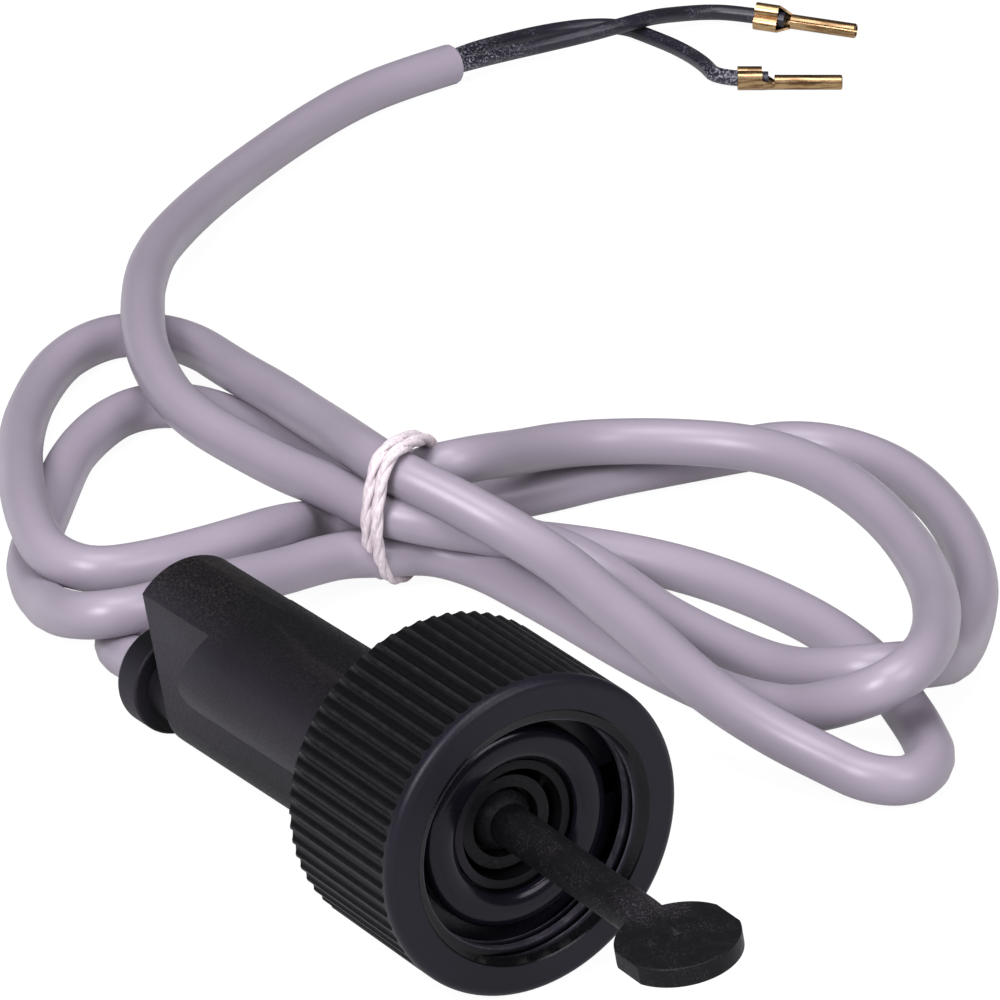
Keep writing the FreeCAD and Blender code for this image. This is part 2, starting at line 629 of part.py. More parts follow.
def cable_lead():
    """Cable from inside the housing, out of the collar and under the hank."""
    jacket_end = table_point(JACKET_END_X, 0, -KEEL_DROP)
    exit_point = table_point(COLLAR_REAR_X - CABLE_DIA / 4, 0, -KEEL_DROP)
    straight = Part.Wire(Part.LineSegment(jacket_end, exit_point).toShape())
    ring = Part.Wire(Part.Circle(jacket_end, exit_point - jacket_end, CABLE_R).toShape())
    inside = straight.makePipeShell([ring], True, False)
    outside = tube("cable_lead", [exit_point] + [V(*p) for p in LEAD_ROUTE], CABLE_R)
    return inside.fuse(outside)


def at_tie(shape):
    """Turn and move a piece drawn round the middle of the tie to its place on the hank."""
    placed = shape.copy()
    placed.rotate(V(0, 0, 0), V(0, 0, 1), TIE_TURN_DEG)
    placed.translate(V(*TIE_PLACE, 0))
    return placed


def cable_hank():
    """Outer shape of the folded hank: two open lobes and the bundle under the string."""
    left = plan_slab(LEFT_LOBE_OUTER, HANK_HEIGHT).cut(plan_slab(LEFT_LOBE_INNER, HANK_HEIGHT))
    right = plan_slab(RIGHT_LOBE_OUTER, HANK_HEIGHT).cut(plan_slab(RIGHT_LOBE_INNER, HANK_HEIGHT))
    edges, _, _ = rounded_edges([V(-WAIST_HALF_LENGTH, y, z) for y, z in TIE_SECTION], closed=True)
    section = Part.Face(Part.Wire(edges)).makeOffset2D(-STRING_DIA / 2)
    bundle = section.extrude(V(2 * WAIST_HALF_LENGTH, 0, 0))
    return left.multiFuse([right, at_tie(bundle)]).removeSplitter()


def string_tie():
    """Two turns of string side by side round the bundle."""
    turns = []
    for side in (-1, 1):
        x = side * STRING_DIA / 2
        route = [V(x, y, z) for y, z in TIE_SECTION]
        turn = tube("string_tie", route, STRING_DIA / 2 - SEAT_GAP / 2, closed=True)
        turns.append(at_tie(turn))
    return Part.makeCompound(turns)


def contact_frame(rest):
    """Placement of a contact that lies on the table on the front of its crimp and on its tip."""
    x, y, heading, roll = rest
    front_height = CRIMP_R - CRIMP_RISE * math.cos(math.radians(roll))
    tilt = math.asin((front_height - CONTACT_R) / (CONTACT_TIP_X - CRIMP_LENGTH))
    rear_height = front_height + CRIMP_LENGTH * math.sin(tilt)
    about_x = FreeCAD.Rotation(V(1, 0, 0), roll)
    about_y = FreeCAD.Rotation(V(0, 1, 0), math.degrees(tilt))
    about_z = FreeCAD.Rotation(V(0, 0, 1), heading)
    return FreeCAD.Placement(V(x, y, rear_height), about_z * about_y * about_x)


def crimp_bar(inset):
    """Bar of the crimp's outline: a half round below and two rolled lobes above, all inset."""
    radius = CRIMP_R - inset
    lobe_r = CRIMP_ROLL_SHARE * CRIMP_R - inset
    lobe_y = CRIMP_R * (1 - CRIMP_ROLL_SHARE)
    groove = math.sqrt(max(lobe_r ** 2 - lobe_y ** 2, 0))
    foot_y = max(lobe_y - lobe_r, 0)
    near, far = V(0, -radius, CRIMP_RISE), V(0, radius, CRIMP_RISE)
    near_foot, far_foot = V(0, -foot_y, CRIMP_RISE + groove), V(0, foot_y, CRIMP_RISE + groove)
    near_top, far_top = V(0, -lobe_y, CRIMP_RISE + lobe_r), V(0, lobe_y, CRIMP_RISE + lobe_r)
    edges = [
        Part.Arc(near, V(0, 0, CRIMP_RISE - radius), far).toShape(),
        Part.Arc(far, far_top, far_foot).toShape(),
        Part.Arc(near_foot, near_top, near).toShape(),
    ]
    if foot_y > 0:
        edges.insert(2, Part.LineSegment(far_foot, near_foot).toShape())
    return Part.Face(Part.Wire(edges)).extrude(V(CRIMP_LENGTH, 0, 0))


def half_ring(x, z, radius):
    """Wire round the lower half of a ring of the contact's wall."""
    inner = radius - CONTACT_WALL
    edges = [
        Part.Arc(V(x, -radius, z), V(x, 0, z - radius), V(x, radius, z)).toShape(),
        Part.LineSegment(V(x, radius, z), V(x, inner, z)).toShape(),
        Part.Arc(V(x, inner, z), V(x, 0, z - inner), V(x, -inner, z)).toShape(),
        Part.LineSegment(V(x, -inner, z), V(x, -radius, z)).toShape(),
    ]
    return Part.Wire(edges)


def rolled_contact():
    """Rolled contact along x: crimp with two rolled lobes, open neck and hollow pin with a seam."""
    crimp = crimp_bar(0).cut(crimp_bar(CONTACT_WALL))
    rear = half_ring(CRIMP_LENGTH, CRIMP_RISE, CRIMP_R)
    front = half_ring(CONTACT_PIN_X, 0, CONTACT_R)
    neck = Part.makeLoft([rear, front], True, True)
    bore_r = CONTACT_R - CONTACT_WALL
    tip_round = CONTACT_WALL / 2
    pin = turned([
        (CONTACT_PIN_X, bore_r), (CONTACT_PIN_X, CONTACT_R), (CONTACT_TIP_X - tip_round, CONTACT_R),
        (CONTACT_TIP_X, CONTACT_R - tip_round), (CONTACT_TIP_X, bore_r),
    ])
    half_seam = CONTACT_SEAM / 2
    seam = box_between((CRIMP_LENGTH, -half_seam, 0), (2 * CONTACT_TIP_X, half_seam, CRIMP_R))
    return crimp.multiFuse([neck, pin.cut(seam)])


def crimp_contact(rest):
    """Contact where it lies on the table."""
    contact = rolled_contact()
    contact.Placement = contact_frame(rest)
    return contact


def tail_core(name, route, rest):
    """Bare core from the cut end of the cable through its contact's crimp into the neck."""
    frame = contact_frame(rest)
    lead_in = frame.multVec(V(-CRIMP_LEAD_IN, 0, CORE_LIFT))
    end = frame.multVec(V(CRIMP_LENGTH + CONTACT_NECK_LENGTH / 2, 0, CORE_LIFT))
    core = tube(name, [V(*p) for p in route] + [lead_in, end], CORE_DIA / 2)
    return core.cut(crimp_contact(rest))


def core_starts():
    """Where the two cores leave the cut end of the cable, side by side."""
    end = V(*TAIL_ROUTE[-1])
    before = V(*TAIL_ROUTE[-2])
    heading = (end - before).normalize()
    across = heading.cross(V(0, 0, 1)).normalize() * (CORE_SPACING / 2)
    face = end + heading * SEAT_GAP
    return tuple(face - across), tuple(face + across)


def build_nodes():
    """All pieces by name, each where it lies on the table."""
    core_start_1, core_start_2 = core_starts()
    in_housing = {
        "switch_housing": switch_housing(),
        "split_ring": split_ring(),
        "face_seal": face_seal(),
        "paddle_lever": paddle_lever(),
        "lever_magnet": lever_magnet(),
        "pivot_pin": pivot_pin(),
        "return_magnet": return_magnet(),
        "reed_board": reed_board(),
        "reed_capsule": reed_capsule(),
        "reed_wire_front": reed_wire("reed_wire_front", CAPSULE_FRONT_X, 1),
        "reed_wire_rear": reed_wire("reed_wire_rear", CAPSULE_REAR_X, -1),
        "solder_joints": solder_joints(),
        "inner_core_1": inner_core(-1),
        "inner_core_2": inner_core(1),
        "potting_plug": potting_plug(),
        "cable_grommet": cable_grommet(),
    }
    nodes = {name: lay_down(shape) for name, shape in in_housing.items()}
    nodes["union_nut"] = stand_on_table(union_nut())
    nodes["cable_lead"] = cable_lead()
    nodes["cable_hank"] = cable_hank()
    nodes["cable_tail"] = tube("cable_tail", [V(*p) for p in TAIL_ROUTE], CABLE_R)
    nodes["tail_core_1"] = tail_core("tail_core_1", [core_start_1] + CORE_ROUTE_1, CONTACT_REST_1)
    nodes["tail_core_2"] = tail_core("tail_core_2", [core_start_2] + CORE_ROUTE_2, CONTACT_REST_2)
    nodes["crimp_contact_1"] = crimp_contact(CONTACT_REST_1)
    nodes["crimp_contact_2"] = crimp_contact(CONTACT_REST_2)
    nodes["string_tie"] = string_tie()
    return nodes


os.makedirs("parts", exist_ok=True)
for node_name, node_shape in build_nodes().items():
    box = node_shape.optimalBoundingBox()
    print(f"{node_name}: valid {node_shape.isValid()}, solids {len(node_shape.Solids)},"
          f" volume {node_shape.Volume:.1f}, x {box.XMin:.1f} to {box.XMax:.1f},"
          f" y {box.YMin:.1f} to {box.YMax:.1f}, z {box.ZMin:.2f} to {box.ZMax:.1f}")
    node_shape.exportStep(f"parts/{node_name}.step")
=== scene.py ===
"""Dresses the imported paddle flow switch: its cable, string, thread and finishes.

Floor, lamps and camera follow the photograph. Lengths are in millimetres unless a docstring
says metres, and MM turns them into Blender's metres.
"""
import json
import logging
import math
from dataclasses import dataclass
from enum import Enum
from typing import Optional, Union

import bpy
from mathutils import Matrix, Vector

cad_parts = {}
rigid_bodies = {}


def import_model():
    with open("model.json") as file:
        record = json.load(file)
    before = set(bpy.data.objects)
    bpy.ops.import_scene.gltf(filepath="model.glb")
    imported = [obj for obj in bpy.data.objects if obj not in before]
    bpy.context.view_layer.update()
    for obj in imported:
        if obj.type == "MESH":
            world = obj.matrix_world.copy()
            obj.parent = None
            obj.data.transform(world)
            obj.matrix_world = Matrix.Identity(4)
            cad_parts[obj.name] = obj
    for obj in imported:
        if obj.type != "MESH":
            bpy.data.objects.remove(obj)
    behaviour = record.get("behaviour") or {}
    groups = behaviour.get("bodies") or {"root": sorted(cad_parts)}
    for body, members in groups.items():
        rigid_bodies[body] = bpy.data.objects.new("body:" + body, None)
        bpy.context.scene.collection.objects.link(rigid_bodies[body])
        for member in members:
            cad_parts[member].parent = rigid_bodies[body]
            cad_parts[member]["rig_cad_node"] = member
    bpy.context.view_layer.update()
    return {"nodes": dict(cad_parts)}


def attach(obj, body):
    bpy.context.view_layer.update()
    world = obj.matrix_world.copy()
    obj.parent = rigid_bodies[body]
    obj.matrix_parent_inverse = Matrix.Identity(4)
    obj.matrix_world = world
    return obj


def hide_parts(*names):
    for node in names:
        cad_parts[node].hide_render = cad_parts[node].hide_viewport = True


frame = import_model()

log = logging.getLogger("flow_switch")

Colour = tuple[float, float, float]
Point = tuple[float, float, float]
Range = tuple[float, float]
Route = tuple[Point, ...]

MM = 0.001
NOISE_MEAN = 0.5
SPLINE_ORDER = 3
LENGTH_STEPS = 1024


class Slot(Enum):
    """Finish slots of the record."""

    HOUSING = "housing"
    NUT = "nut"
    RING = "ring"
    SEAL = "seal"
    PADDLE = "paddle"
    MAGNET = "magnet"
    STEEL = "steel"
    BOARD = "board"
    GLASS = "glass"
    SOLDER = "solder"
    POTTING = "potting"
    GROMMET = "grommet"
    JACKET = "jacket"
    CORE = "core"
    CONTACT = "contact"
    STRING = "string"


class Body(Enum):
    """Bodies that the new pieces ride on."""

    HOUSING = "housing"
    NUT = "nut"


class Wire:
    """One output socket of a material; arithmetic on it adds Math nodes."""

    def __init__(self, web: "Web", socket: bpy.types.NodeSocket) -> None:
        """Keeps the socket and the node tree that it belongs to."""
        self.web = web
        self.socket = socket

    def _math(self, operation: str, first: "Value", second: "Value") -> "Wire":
        """Adds one Math node and returns its output."""
        return self.web.add("ShaderNodeMath", {"operation": operation}, {0: first, 1: second})

    def __add__(self, other: "Value") -> "Wire":
        """Sum of the two."""
        return self._math("ADD", self, other)

    def __radd__(self, other: "Value") -> "Wire":
        """Sum with the number first."""
        return self._math("ADD", other, self)

    def __sub__(self, other: "Value") -> "Wire":
        """Difference of the two."""
        return self._math("SUBTRACT", self, other)

    def __rsub__(self, other: "Value") -> "Wire":
        """Difference with the number first."""
        return self._math("SUBTRACT", other, self)

    def __mul__(self, other: "Value") -> "Wire":
        """Product of the two."""
        return self._math("MULTIPLY", self, other)

    def __rmul__(self, other: "Value") -> "Wire":
        """Product with the number first."""
        return self._math("MULTIPLY", other, self)


Value = Union[Wire, float, Colour]


@dataclass(frozen=True)
class Pattern:
    """One noise: grains to the metre, octaves, and the values where its mask starts and ends."""

    scale: float
    detail: float
    low: float = 0.0
    high: float = 1.0


@dataclass(frozen=True)
class Relief:
    """Bump of a finish: its strength, and its depth in metres."""

    strength: float
    depth: float


class Web:
    """Node tree of one material."""

    def __init__(self, name: str) -> None:
        """Starts an empty material of that name."""
        self.material = bpy.data.materials.new(name)
        self.material.use_nodes = True
        self.tree = self.material.node_tree
        self.tree.nodes.clear()
        self.output = self.tree.nodes.new("ShaderNodeOutputMaterial")

    def add(self, kind: str, settings: dict, inputs: dict, out: Union[int, str] = 0) -> Wire:
        """Adds any node.

        Args:
            kind: the node's type.
            settings: its properties, set first; "stops" fills a colour ramp.
            inputs: values or wires by socket name or number.
            out: the output that is returned.

        Returns:
            The wire of that output.
        """
        node = self.tree.nodes.new(kind)
        for key, value in settings.items():
            if key == "stops":
                self._fill_ramp(node, value)
            else:
                setattr(node, key, value)
        for key, value in inputs.items():
            self._feed(node.inputs[key], value)
        return Wire(self, node.outputs[out])

    def _fill_ramp(self, node: bpy.types.Node, stops: list[Range]) -> None:
        """Sets the two stops of a colour ramp as shades of grey."""
        for element, (place, shade) in zip(node.color_ramp.elements, stops):
            element.position = place
            element.color = (shade, shade, shade, 1.0)

    def _feed(self, socket: bpy.types.NodeSocket, value: Value) -> None:
        """Links a wire to a socket, or sets the socket's own value."""
        if isinstance(value, Wire):
            self.tree.links.new(value.socket, socket)
        elif isinstance(value, tuple) and socket.type == "RGBA":
            socket.default_value = (*value, 1.0)
        else:
            socket.default_value = value

    def place(self, shares: Point = (1.0, 1.0, 1.0), heading: float = 0.0) -> Wire:
        """Object coordinates along turned axes.

        Args:
            shares: factor on each axis; a small one draws a pattern out along it.
            heading: turn of the axes about Z in degrees.

        Returns:
            The coordinates in metres.
        """
        inputs = {
            "Vector": self.add("ShaderNodeTexCoord", {}, {}, "Object"),
            "Rotation": (0.0, 0.0, math.radians(heading)),
            "Scale": tuple(1.0 / share for share in shares),
        }
        return self.add("ShaderNodeMapping", {"vector_type": "TEXTURE"}, inputs)

    def noise(self, pattern: Pattern, spot: Optional[Wire] = None) -> Wire:
        """Noise of a pattern, at the object's own coordinates where no others are given."""
        inputs = {
            "Vector": spot if spot is not None else self.place(),
            "Scale": pattern.scale,
            "Detail": pattern.detail,
        }
        return self.add("ShaderNodeTexNoise", {}, inputs)

    def mask(self, pattern: Pattern, spot: Optional[Wire] = None) -> Wire:
        """Noise of a pattern, stepped from 0 to 1 between its low and high values."""
        return self.ramp(self.noise(pattern, spot), pattern.low, pattern.high)

    def ramp(self, value: Wire, low: float, high: float) -> Wire:
        """Steps a value from 0 to 1 between low and high."""
        return self.add("ShaderNodeValToRGB", {"stops": [(low, 0.0), (high, 1.0)]}, {0: value})

    def span(self, value: Wire, low: float, high: float) -> Wire:
        """Runs a length in metres from 0 at low to 1 at high, both in millimetres."""
        inputs = {"Value": value, "From Min": low * MM, "From Max": high * MM}
        return self.add("ShaderNodeMapRange", {}, inputs)

    def along(self, axis: str) -> Wire:
        """One of the object coordinates, in metres."""
        return self.add("ShaderNodeSeparateXYZ", {}, {0: self.place()}, axis)

    def near(self, point: Point, inner: float, outer: float) -> Wire:
        """1 within the inner distance of a point and 0 beyond the outer one."""
        ends = {0: self.place(), 1: tuple(Vector(point) * MM)}
        gap = self.add("ShaderNodeVectorMath", {"operation": "DISTANCE"}, ends, "Value")
        return self.span(gap, outer, inner)

    def mix(self, share: Value, first: Value, second: Value) -> Wire:
        """Mixes two colours; the numbers are the Mix node's colour sockets."""
        inputs = {0: share, 6: first, 7: second}
        return self.add("ShaderNodeMix", {"data_type": "RGBA"}, inputs, 2)

    def bump(self, height: Wire, relief: Relief) -> Wire:
        """Normal of a bumpy surface."""
        inputs = {"Height": height, "Strength": relief.strength, "Distance": relief.depth}
        return self.add("ShaderNodeBump", {}, inputs)

    def finish(self, inputs: dict) -> bpy.types.Material:
        """Closes the tree with a Principled shader that has these inputs."""
        shader = self.add("ShaderNodeBsdfPrincipled", {}, inputs)
        self.tree.links.new(shader.socket, self.output.inputs["Surface"])
        return self.material


@dataclass(frozen=True)
class MouldedPlastic:
    """Dark moulded plastic with a fine grain, dust specks and a paler, more speckled spot on the
    disc.
    """

    name: str
    tone: Colour
    dust: Colour
    roughness: float
    grain: Pattern
    specks: float
    gloss: float
    clouds: Pattern = Pattern(90.0, 5.0, 0.35, 0.75)
    speckle: Pattern = Pattern(3600.0, 3.0, 0.5, 0.72)
    patches: Pattern = Pattern(420.0, 3.0, 0.4, 0.7)
    pale_spot: Point = (50.5, 0.0, 22.0)
    pale_spot_specks: Range = (3.0, 6.0)
    pale_spot_wash: Range = (2.0, 5.0)
    pale_spot_share: float = 0.25
    cloud_share: float = 0.01
    grain_matt: float = 0.3
    cloud_shine: float = 0.06
    relief: Relief = Relief(0.5, 0.00003)

    def make(self) -> bpy.types.Material:
        """Builds the material."""
        web = Web(self.name)
        cloud = web.mask(self.clouds)
        grain = web.noise(self.grain)
        # Near one point on the disc: extra specks and a paler wash.
        patch = web.mask(self.patches) + web.near(self.pale_spot, *self.pale_spot_specks)
        pale_wash = web.near(self.pale_spot, *self.pale_spot_wash) * self.pale_spot_share
        lightening = cloud * self.cloud_share + (web.mask(self.speckle) * patch + pale_wash) * self.specks
        rough = self.roughness + (grain - NOISE_MEAN) * self.grain_matt
        inputs = {
            "Base Color": web.mix(lightening, self.tone, self.dust),
            "Roughness": rough - cloud * self.cloud_shine,
            "Specular IOR Level": self.gloss,
            "Normal": web.bump(grain, self.relief),
        }
        return web.finish(inputs)


@dataclass(frozen=True)
class HandledPlastic:
    """Plastic of the housing: a scuffed, speckled top, and painted light that makes the near flat
    paler, more so towards the tail.
    """

    name: str
    tone: Colour
    lightening: Colour
    grit: Colour
    roughness: float = 0.5
    gloss: float = 0.14
    top: Range = (22.0, 29.0)
    near: Range = (-2.0, -6.5)
    tail: Range = (-34.0, -50.0)
    grain: Pattern = Pattern(2600.0, 5.0, 0.45, 0.75)
    clouds: Pattern = Pattern(120.0, 5.0, 0.35, 0.7)
    scratches: Pattern = Pattern(330.0, 4.0, 0.6, 0.7)
    scratch_shares: Point = (0.16, 1.0, 1.0)
    scratch_share: float = 0.035
    front_grit: float = 0.07
    tail_grit: float = 0.32
    least_grit: float = 0.25
    front_flat_light: float = 0.5
    grain_matt: float = 0.3
    relief: Relief = Relief(0.5, 0.00008)

    def make(self) -> bpy.types.Material:
        """Builds the material."""
        web = Web(self.name)
        grain = web.noise(self.grain)
        cloud = web.mask(self.clouds)
        scratch = web.mask(self.scratches, web.place(self.scratch_shares))
        high = web.span(web.along("Z"), *self.top)
        behind = web.span(web.along("X"), *self.tail)
        near = web.span(web.along("Y"), *self.near) * (1.0 - high)
        speck = web.ramp(grain, self.grain.low, self.grain.high)
        spread = self.least_grit + cloud * (1.0 - self.least_grit)
        grit = speck * high * (self.front_grit + behind * self.tail_grit) * spread
        # Painted light: the near flat below the top is painted paler, more so towards the tail, for
        # the light it catches.
        flat_light = near * (self.front_flat_light + behind * (1.0 - self.front_flat_light))
        tone_and_flat_light = web.mix(flat_light, self.tone, self.lightening)
        inputs = {
            "Base Color": web.mix(grit + scratch * high * self.scratch_share, tone_and_flat_light, self.grit),
            "Roughness": self.roughness + (grain - NOISE_MEAN) * self.grain_matt,
            "Specular IOR Level": self.gloss,
            "Normal": web.bump(grain, self.relief),
        }
        return web.finish(inputs)


@dataclass(frozen=True)
class FlutedPlastic:
    """Plastic of the union nut: painted shade in its grooves and thread roots, dust and painted
    highlight on the ridges.

    All ranges are radii from the nut's axis, apart from grip, which runs along it.
    """

    name: str
    tone: Colour
    groove_shade: Colour
    ridge: Colour
    thread_dust_and_highlight: Colour
    roughness: float = 0.42
    gloss: float = 0.22
    axis_height: float = 21.0
    grip: Range = (23.6, 22.8)
    outside: Range = (18.5, 19.5)
    crest: Range = (20.5, 20.95)
    thread: Range = (15.4, 15.2)
    root: Range = (15.4, 15.8)
    mouth: Range = (16.95, 16.75)
    grain: Pattern = Pattern(2200.0, 4.0)
    dust: Pattern = Pattern(700.0, 4.0, 0.4, 0.7)
    least_dust: float = 0.4
    grain_matt: float = 0.25
    root_shine: float = 0.22
    crest_matt: float = 0.12
    relief: Relief = Relief(0.4, 0.00003)

    def make(self) -> bpy.types.Material:
        """Builds the material."""
        web = Web(self.name)
        side = web.along("Y")
        height = web.along("Z") - self.axis_height * MM
        square = side * side + height * height
        radius = web.add("ShaderNodeMath", {"operation": "SQRT"}, {0: square})
        crest = web.span(radius, *self.crest)
        grip = web.span(web.along("X"), *self.grip) * web.span(radius, *self.outside)
        # Painted shade: the thread roots and the bore inside the mouth take the near-black groove
        # colour.
        root = web.span(radius, *self.root) * web.span(radius, *self.mouth)
        grain = web.noise(self.grain)
        dust = self.least_dust + web.mask(self.dust) * (1.0 - self.least_dust)
        # Flutes: painted shade in the valleys, dust and painted sheen on the crests.
        flute_shade_and_sheen = web.mix(crest * dust, self.groove_shade, self.ridge)
        # Thread crests: dust and painted highlight.
        lit = web.mix(web.span(radius, *self.thread) * dust, self.tone, self.thread_dust_and_highlight)
        rough = self.roughness + (grain - NOISE_MEAN) * self.grain_matt
        inputs = {
            "Base Color": web.mix(root, web.mix(grip, lit, flute_shade_and_sheen), self.groove_shade),
            "Roughness": rough - root * self.root_shine + grip * crest * self.crest_matt,
            "Specular IOR Level": self.gloss,
            "Normal": web.bump(grain, self.relief),
        }
        return web.finish(inputs)


@dataclass(frozen=True)
class SoftSkin:
    """Rubber, resin or cable jacket: even colour, faint clouds and ripples of a depth in metres."""

    name: str
    tone: Colour
    shade: Colour
    roughness: float
    ripple: float
    gloss: float = 0.5
    ripple_strength: float = 0.25
    clouds: Pattern = Pattern(45.0, 4.0, 0.3, 0.7)
    grain: Pattern = Pattern(2600.0, 3.0)
    grain_matt: float = 0.16
    cloud_matt: float = 0.05

    def make(self) -> bpy.types.Material:
        """Builds the material."""
        web = Web(self.name)
        cloud = web.mask(self.clouds)
        grain = web.noise(self.grain)
        rough = self.roughness + (grain - NOISE_MEAN) * self.grain_matt
        inputs = {
            "Base Color": web.mix(cloud, self.tone, self.shade),
            "Roughness": rough + cloud * self.cloud_matt,
            "Specular IOR Level": self.gloss,
            "Normal": web.bump(grain, Relief(self.ripple_strength, self.ripple)),
        }
        return web.finish(inputs)


@dataclass(frozen=True)
class BareMetal:
    """Plain or plated metal with stains, and with draw lines along a heading where asked."""

    name: str
    tone: Colour
    dull: Colour
    roughness: float
    metallic: float = 1.0
    lined: float = 0.0
    heading: float = 0.0
    streaks: Pattern = Pattern(500.0, 4.0)
    streak_shares: Point = (1.0, 1.0, 6.0)
    lines: Pattern = Pattern(1700.0, 3.0, 0.44, 0.58)
    line_shares: Point = (0.05, 1.0, 1.0)
    stains: Pattern = Pattern(260.0, 3.0, 0.45, 0.75)
    streak_matt: float = 0.25
    relief: Relief = Relief(0.2, 0.00004)

    def make(self) -> bpy.types.Material:
        """Builds the material."""
        web = Web(self.name)
        streak = web.noise(self.streaks, web.place(self.streak_shares))
        line = web.mask(self.lines, web.place(self.line_shares, self.heading))
        stain = web.mask(self.stains) * (1.0 - self.lined) + line * self.lined
        inputs = {
            "Base Color": web.mix(stain, self.tone, self.dull),
            "Metallic": self.metallic,
            "Roughness": self.roughness + (streak - NOISE_MEAN) * self.streak_matt,
            "Normal": web.bump(streak, self.relief),
        }
        return web.finish(inputs)


@dataclass(frozen=True)
class TalcedCore:
    """Black core insulation with specks of white talc, most where it was stripped and crimped."""

    name: str = "core_insulation"
    tone: Colour = (0.011, 0.011, 0.018)
    talc: Colour = (0.5, 0.52, 0.58)
    jacket_end: Point = (-236.8, 158.8, 3.2)
    end_reach: Range = (3.0, 16.0)
    dusty_crimp: Point = (-211.0, 193.0, 1.6)
    crimp_reach: Range = (2.0, 8.0)
    grain: Pattern = Pattern(2600.0, 5.0, 0.5, 0.68)
    patches: Pattern = Pattern(220.0, 3.0, 0.5, 0.75)
    patch_share: float = 0.4
    talc_share: float = 0.6
    roughness: float = 0.38
    talc_matt: float = 0.4
    relief: Relief = Relief(0.35, 0.00008)

    def make(self) -> bpy.types.Material:
        """Builds the material."""
        web = Web(self.name)
        grain = web.noise(self.grain)
        ends = web.near(self.jacket_end, *self.end_reach)
        crimp = web.near(self.dusty_crimp, *self.crimp_reach)
        patch = web.mask(self.patches) * self.patch_share + ends + crimp
        dust = web.ramp(grain, self.grain.low, self.grain.high) * patch
        inputs = {
            "Base Color": web.mix(dust * self.talc_share, self.tone, self.talc),
            "Roughness": self.roughness + dust * self.talc_matt,
            "Normal": web.bump(grain, self.relief),
        }
        return web.finish(inputs)


@dataclass(frozen=True)
class SpunString:
    """Off-white spun string with fine fibres."""

    name: str = "spun_string"
    tone: Colour = (0.79, 0.73, 0.73)
    shade: Colour = (0.58, 0.515, 0.52)
    roughness: float = 0.9
    fibres: Pattern = Pattern(2400.0, 5.0, 0.35, 0.65)
    fibre_shares: Point = (1.0, 1.0, 0.35)
    relief: Relief = Relief(0.6, 0.0002)

    def make(self) -> bpy.types.Material:
        """Builds the material."""
        web = Web(self.name)
        fibre = web.noise(self.fibres, web.place(self.fibre_shares))
        light = web.ramp(fibre, self.fibres.low, self.fibres.high)
        inputs = {
            "Base Color": web.mix(light, self.shade, self.tone),
            "Roughness": self.roughness,
            "Normal": web.bump(fibre, self.relief),
        }
        return web.finish(inputs)


@dataclass(frozen=True)
class ClearGlass:
    """Pale green glass of the reed capsule."""

    name: str = "reed_glass"
    tone: Colour = (0.75, 0.9, 0.82)
    pale: Colour = (0.85, 0.95, 0.9)
    clouds: Pattern = Pattern(300.0, 2.0)
    roughness: float = 0.04
    cloud_matt: float = 0.04
    clearness: float = 0.9
    ior: float = 1.5

    def make(self) -> bpy.types.Material:
        """Builds the material."""
        web = Web(self.name)
        cloud = web.noise(self.clouds)
        inputs = {
            "Base Color": web.mix(cloud, self.tone, self.pale),
            "Roughness": self.roughness + cloud * self.cloud_matt,
            "Transmission Weight": self.clearness,
            "IOR": self.ior,
        }
        return web.finish(inputs)


Finish = Union[
    MouldedPlastic, HandledPlastic, FlutedPlastic, SoftSkin,
    BareMetal, TalcedCore, SpunString, ClearGlass,
]


